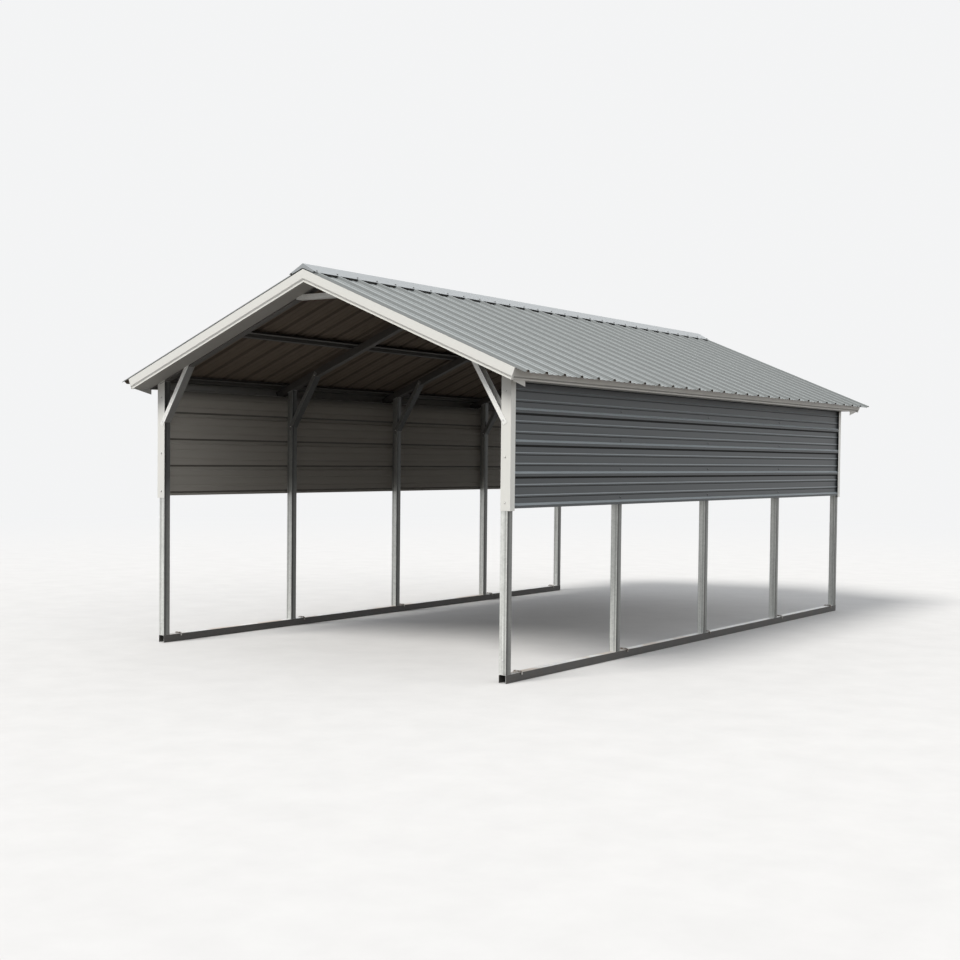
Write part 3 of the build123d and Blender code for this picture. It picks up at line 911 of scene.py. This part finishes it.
# %% [markdown]
# ## Screws
#
# Each sheet is held by self-drilling screws with a hexagonal head on a flange, over a dark
# rubber washer that keeps water out. Screws between pieces of the frame have no washer.
# The hexagon of each head stands at a random turn, as an electric driver leaves it, and
# each screw may miss its mark by a few millimetres.

# %% One screw, and a row of them
chance = random.Random(7)
WASHER = [(0.0066, -0.0003), (0.0070, 0.0004), (0.0068, 0.0014), (0.0060, 0.0018)]
FLANGE = [(0.0058, -0.0003), (0.0062, 0.0005), (0.0060, 0.0013), (0.0046, 0.0021)]
HEAD = [(0.0044, 0.0017), (0.0044, 0.0053), (0.0038, 0.0061)]
WASHER_THICKNESS = 0.0015
ROUND, HEXAGON = 14, 6
LOOSE_AIM, CLOSE_AIM = 0.004, 0.003


def jitter(size):
    """A random step either way, up to a size."""
    return chance.uniform(-size, size)


def screw_row(name, spots, material, washers=True):
    """One screw at each (spot, facing). Heads are one piece, and washers another."""
    heads, rubbers = bmesh.new(), bmesh.new()
    for spot, facing in spots:
        spin = chance.uniform(0, math.pi)
        foot = spot
        if washers:
            turn_on_lathe(rubbers, spot, facing, WASHER, ROUND)
            foot = spot + facing * WASHER_THICKNESS
        turn_on_lathe(heads, foot, facing, FLANGE, ROUND)
        turn_on_lathe(heads, foot, facing, HEAD, HEXAGON, spin)
    finish_piece(f"{name}_heads", heads, material)
    if washers:
        finish_piece(f"{name}_washers", rubbers, rubber)
    else:
        rubbers.free()


print("washer across, mm", round(2000 * max(radius for radius, _ in WASHER), 1))

# %% [markdown]
# ## Screws in the roof
#
# A screw goes through the pan right beside every strong rib, into the middle purlin and
# the eave purlin of each slope. The ridge purlin lies below the ridge cap's edge, so its
# screws go through the cap where it rests on the ribs.

# %% Roof screws and ridge cap screws
SHEET, RIB_HEIGHT, RIB_BASE, RIB_SPACING = 0.0012, 0.019, 0.052, 0.2286
EAVE_OVERHANG = 0.176
FASCIA_RUN = (POST_X + EAVE_OVERHANG) / RUN_COS
RIDGE_PURLIN, EAVE_INSET = 0.130, 0.119
EAVE_PURLIN = FASCIA_RUN - EAVE_INSET
MIDDLE_PURLIN = (RIDGE_PURLIN + EAVE_PURLIN) / 2
BESIDE_RIB = 0.040
CAP_LEG, CAP_LIFT = 0.145, 0.020
first_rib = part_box("right_roof_end_sheets")[0].y + RIB_BASE / 2
bays = round(-2 * first_rib / RIB_SPACING)
rib_pitch = -2 * first_rib / bays
cap_edge = on_slope(1, CAP_LEG, 0.0, SHEET + RIB_HEIGHT)
cap_top = RIDGE + (SHEET + RIB_HEIGHT) / RUN_COS + CAP_LIFT
cap_fall = (cap_top - cap_edge.z) / cap_edge.x
cap_screw_x = RIDGE_PURLIN * RUN_COS
cap_screw_z = cap_top - cap_fall * cap_screw_x

for side, label in SIDES:
    spots = []
    for run in (MIDDLE_PURLIN, EAVE_PURLIN):
        for k in range(bays):
            y = first_rib + k * rib_pitch + side * BESIDE_RIB + (0.0 if side > 0 else rib_pitch)
            spot = on_slope(side, run + jitter(LOOSE_AIM), y + jitter(CLOSE_AIM), SHEET)
            spots.append((spot, slope_normal(side)))
    screw_row(f"{label}_roof_screws", spots, roof_paint)
    cap_normal = Vector((side * cap_fall, 0, 1)).normalized()
    spots = []
    for k in range(bays + 1):
        y = first_rib + k * rib_pitch + jitter(CLOSE_AIM)
        spot = Vector((side * cap_screw_x, y, cap_screw_z))
        spots.append((spot + cap_normal * SHEET, cap_normal))
    screw_row(f"{label}_ridge_cap_screws", spots, roof_paint)

# %% [markdown]
# ## Closure strips under the ridge cap
#
# Between the strong ribs a gap stays open under the edge of the ridge cap. Strips of black
# foam close it against rain and wasps, and they show as a row of dark dashes; their black
# also stands in for the shadow in that gap, a painted shadow. Each strip is a short bar
# whose ends lean back like the flanks of the ribs, so its four corner points are placed on
# the slope and joined to a second row further up.

# %% Foam strips between the ribs
FOAM_LOW, FOAM_HIGH = 0.1425, 0.118
RIB_TOP, FIT = 0.020, 0.0003


def foam_strip(shape, side, start, end):
    """A bar across one bay. Its top is wider than its foot by the lean of the ribs."""
    lean = (RIB_BASE - RIB_TOP) / 2
    foot, top = SHEET + FIT, SHEET + RIB_HEIGHT - FIT
    near, far = start + RIB_BASE / 2 + FIT, end - RIB_BASE / 2 - FIT
    rows = []
    for run in (FOAM_LOW, FOAM_HIGH):
        corners = ((near, foot), (far, foot), (far + lean, top), (near - lean, top))
        rows.append([shape.verts.new(on_slope(side, run, y, out)) for y, out in corners])
    close_rings(shape, rows)


# Black foam, which also stands in as a painted shadow under the cap's edge.
strips = bmesh.new()
for side, _ in SIDES:
    for k in range(bays):
        foam_strip(strips, side, first_rib + k * rib_pitch, first_rib + (k + 1) * rib_pitch)
finish_piece("ridge_closure_strips", strips, rubber)

# %% [markdown]
# ## Screws in the side sheets and corner trims
#
# The side sheets are screwed to the three inner posts, in the pan just above each strong
# rib. At the ends of the sheet the corner trim laps over it and hides its screws, and the
# trim itself is held by three screws through its front face into the post.

# %% Wall screws and corner trim screws
TRIM = 0.0012
END_Y = -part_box("right_post_1")[0].y
WALL_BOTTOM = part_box("right_wall_sheet")[0].z
FIRST_WALL_RIB, WALL_RIBS, ABOVE_RIB = 0.010, 4, 0.045
RIB_LEVELS = [WALL_BOTTOM + FIRST_WALL_RIB + k * RIB_SPACING for k in range(WALL_RIBS)]
CORNER_SCREW_X = POST_X - 0.025
CORNER_FACE_LEVELS = (1.293, 1.619, 2.087)
for side, label in SIDES:
    outward = Vector((side, 0, 0))
    spots = []
    for y in FRAME_Y[1:-1]:
        for z in RIB_LEVELS:
            spot = Vector((side * (POST_X + SHEET), y + jitter(LOOSE_AIM), z + ABOVE_RIB))
            spots.append((spot, outward))
    screw_row(f"{label}_wall_screws", spots, wall_paint)
    spots = []
    for end in (-1, 1):
        for z in CORNER_FACE_LEVELS:
            spot = Vector((side * CORNER_SCREW_X, end * (END_Y + TRIM), z + jitter(CLOSE_AIM)))
            spots.append((spot, Vector((0, end, 0))))
    screw_row(f"{label}_corner_trim_screws", spots, trim_paint)

# %% [markdown]
# ## Where the braces are screwed
#
# The knee and peak braces clasp the tubes, and a screw through each flange holds them,
# except where the flange's end meets a gable soffit. A knee brace's screws lie on its
# middle line, a little past the faces that it bears on, so that they reach the tubes.

# %% Ends of the braces
POST_INSIDE = POST_X - TUBE
BRACE_DEPTH, BRACE_WALL = 0.038, 0.002
FLANGE_Y = TUBE / 2 + TRIM + FIT + BRACE_WALL
KNEE_DROP, KNEE_REACH, PAST_BEARING = 0.348, 0.293, 0.006
PEAK_DROP, PEAK_INSET = 0.095, 0.022
PEAK_SCREW_X = PEAK_DROP / SLOPE - PEAK_INSET


def brace_screws(y, ends):
    """Spots on both flanges of a brace. An outer flange at a gable keeps only its first end."""
    spots = []
    for way in (-1, 1):
        at_gable = abs(y + way * FLANGE_Y) > END_Y
        for point in ends[:1] if at_gable else ends:
            spots.append((Vector((point[0], y + way * FLANGE_Y, point[1])), Vector((0, way, 0))))
    return spots


low = Vector((POST_INSIDE, 0, rafter_underside(POST_INSIDE) - KNEE_DROP))
high = Vector((POST_INSIDE - KNEE_REACH, 0, rafter_underside(POST_INSIDE - KNEE_REACH)))
along = (high - low).normalized()
middle = Vector((along.z, 0, -along.x)) * BRACE_DEPTH / 2
knee_ends = [low + middle - along * PAST_BEARING, high + middle + along * PAST_BEARING]
print("knee brace screws at heights", [round(end.z, 3) for end in knee_ends])

# %% [markdown]
# ## Screws in the frame
#
# Each post slips over a stub on the rail and is held by a screw through its front and back
# faces, a hand's width above the ground. These and the braces' screws are one row, because
# they are all the same plain screw.

# %% Post, knee brace and peak brace screws
STUB_SCREW_X, STUB_SCREW_LEVEL = POST_X - 0.030, 0.168
spots = []
for side, _ in SIDES:
    for y in FRAME_Y:
        for way in (-1, 1):
            level = STUB_SCREW_LEVEL + jitter(LOOSE_AIM)
            spot = Vector((side * STUB_SCREW_X, y + way * TUBE / 2, level))
            spots.append((spot, Vector((0, way, 0))))
        spots.extend(brace_screws(y, [(side * point.x, point.z) for point in knee_ends]))
peak_level = rafter_underside(0) - PEAK_DROP + BRACE_DEPTH / 2
for y in FRAME_Y:
    for x in (PEAK_SCREW_X, -PEAK_SCREW_X):
        for way in (-1, 1):
            if abs(y + way * FLANGE_Y) < END_Y:
                spots.append((Vector((x, y + way * FLANGE_Y, peak_level)), Vector((0, way, 0))))
screw_row("frame_screws", spots, screw_zinc, washers=False)

# %% [markdown]
# ## Weld beads
#
# A rafter is welded to its post, and the two rafters to each other at the ridge. A bead is
# a row of overlapping ripples, so it is swept along the joint with a radius that swells and
# sinks every few millimetres, and the path wanders a little.

# %% Beads at the posts' heads and at the ridge
BEAD_RADIUS, RIPPLE_STEP, WANDER = 0.0032, 0.0025, 0.0004
PROUD, SHORT_OF_CORNER, HALF_WIDTH, SHORT_OF_RIDGE = 0.0002, 0.002, 0.024, 0.004


def weld_bead(shape, start, end):
    """A rippled bead along a straight joint, thinner where it starts and stops."""
    count = max(6, round((end - start).length / RIPPLE_STEP))
    path, radii = [], []
    for i in range(count + 1):
        drift = Vector((jitter(WANDER), jitter(WANDER), jitter(WANDER)))
        path.append(start.lerp(end, i / count) + drift)
        taper = min(1.0, 0.45 + 0.3 * min(i, count - i))
        ripple = 1.0 + 0.16 * math.sin(i * 1.9) + jitter(0.05)
        radii.append(BEAD_RADIUS * taper * ripple)
    sweep(shape, path, radii, 7)


beads = bmesh.new()
outer_x, inner_x = POST_X - SHORT_OF_CORNER, POST_INSIDE + SHORT_OF_CORNER
corner_z = rafter_underside(POST_INSIDE)
for side, _ in SIDES:
    for y in FRAME_Y:
        for way in (-1, 1):
            edge_y = y + way * (TUBE / 2 + PROUD)
            outer = Vector((side * outer_x, edge_y, rafter_underside(outer_x)))
            inner = Vector((side * inner_x, edge_y, rafter_underside(inner_x)))
            weld_bead(beads, outer, inner)
        weld_bead(beads, Vector((side * POST_INSIDE, y - HALF_WIDTH, corner_z)),
                  Vector((side * POST_INSIDE, y + HALF_WIDTH, corner_z)))
for y in FRAME_Y:
    for way in (-1, 1):
        edge_y = y + way * (TUBE / 2 + PROUD)
        weld_bead(beads, Vector((0, edge_y, rafter_underside(0) + SHORT_OF_RIDGE)),
                  Vector((0, edge_y, RIDGE - HAT_HEIGHT / RUN_COS - SHORT_OF_RIDGE)))
finish_piece("weld_beads", beads, weld_paint)

# %% [markdown]
# ## Ground anchors
#
# Beside each post a ribbed bar is driven into the ground against the rail. Its head is
# bent over the rail and down the other side. The part that shows is a short upright, a
# bend over the top and a stub end, so the path is worked out from the rail's own size with
# two quarter turns. Rolled ribs on the bar are a small ripple in its radius.

# %% Hooked anchor bars
BAR_RADIUS, BEND, HOOK_END = 0.0062, 0.013, 0.046
VALLEY, ANCHOR_DRIFT, TURN_STEPS = 0.93, 0.010, 5
ANCHOR_Y = (-2.865, -1.376, 0.092, 1.640, 2.886)


def hook_path(near_x, far_x, y):
    """Up beside the rail, over its top, and down the far side."""
    top = TUBE + BAR_RADIUS
    up_x, down_x = near_x - BAR_RADIUS - FIT, far_x + BAR_RADIUS + FIT
    points = [Vector((up_x, y, z)) for z in (0.0, 0.015, 0.030, 0.045, top - BEND)]
    for k in range(1, TURN_STEPS + 1):
        angle = math.pi * k / (2 * TURN_STEPS)
        x, z = up_x + BEND * (1 - math.cos(angle)), top - BEND + BEND * math.sin(angle)
        points.append(Vector((x, y, z)))
    middle = (up_x + down_x) / 2
    points.extend(Vector((x, y, top)) for x in (middle - 0.012, middle, middle + 0.012))
    for k in range(TURN_STEPS + 1):
        angle = math.pi * k / (2 * TURN_STEPS)
        x, z = down_x - BEND * (1 - math.sin(angle)), top - BEND + BEND * math.cos(angle)
        points.append(Vector((x, y, z)))
    points.extend(Vector((down_x, y, z)) for z in (HOOK_END + 0.008, HOOK_END))
    return points


bars = bmesh.new()
for side, _ in SIDES:
    near_x, far_x = sorted((side * POST_X, side * POST_INSIDE))
    for y in ANCHOR_Y:
        path = hook_path(near_x, far_x, y + jitter(ANCHOR_DRIFT))
        radii = [BAR_RADIUS * (1.0 if i % 2 else VALLEY) for i in range(len(path))]
        sweep(bars, path, radii, 10)
finish_piece("ground_anchors", bars, anchor_steel)
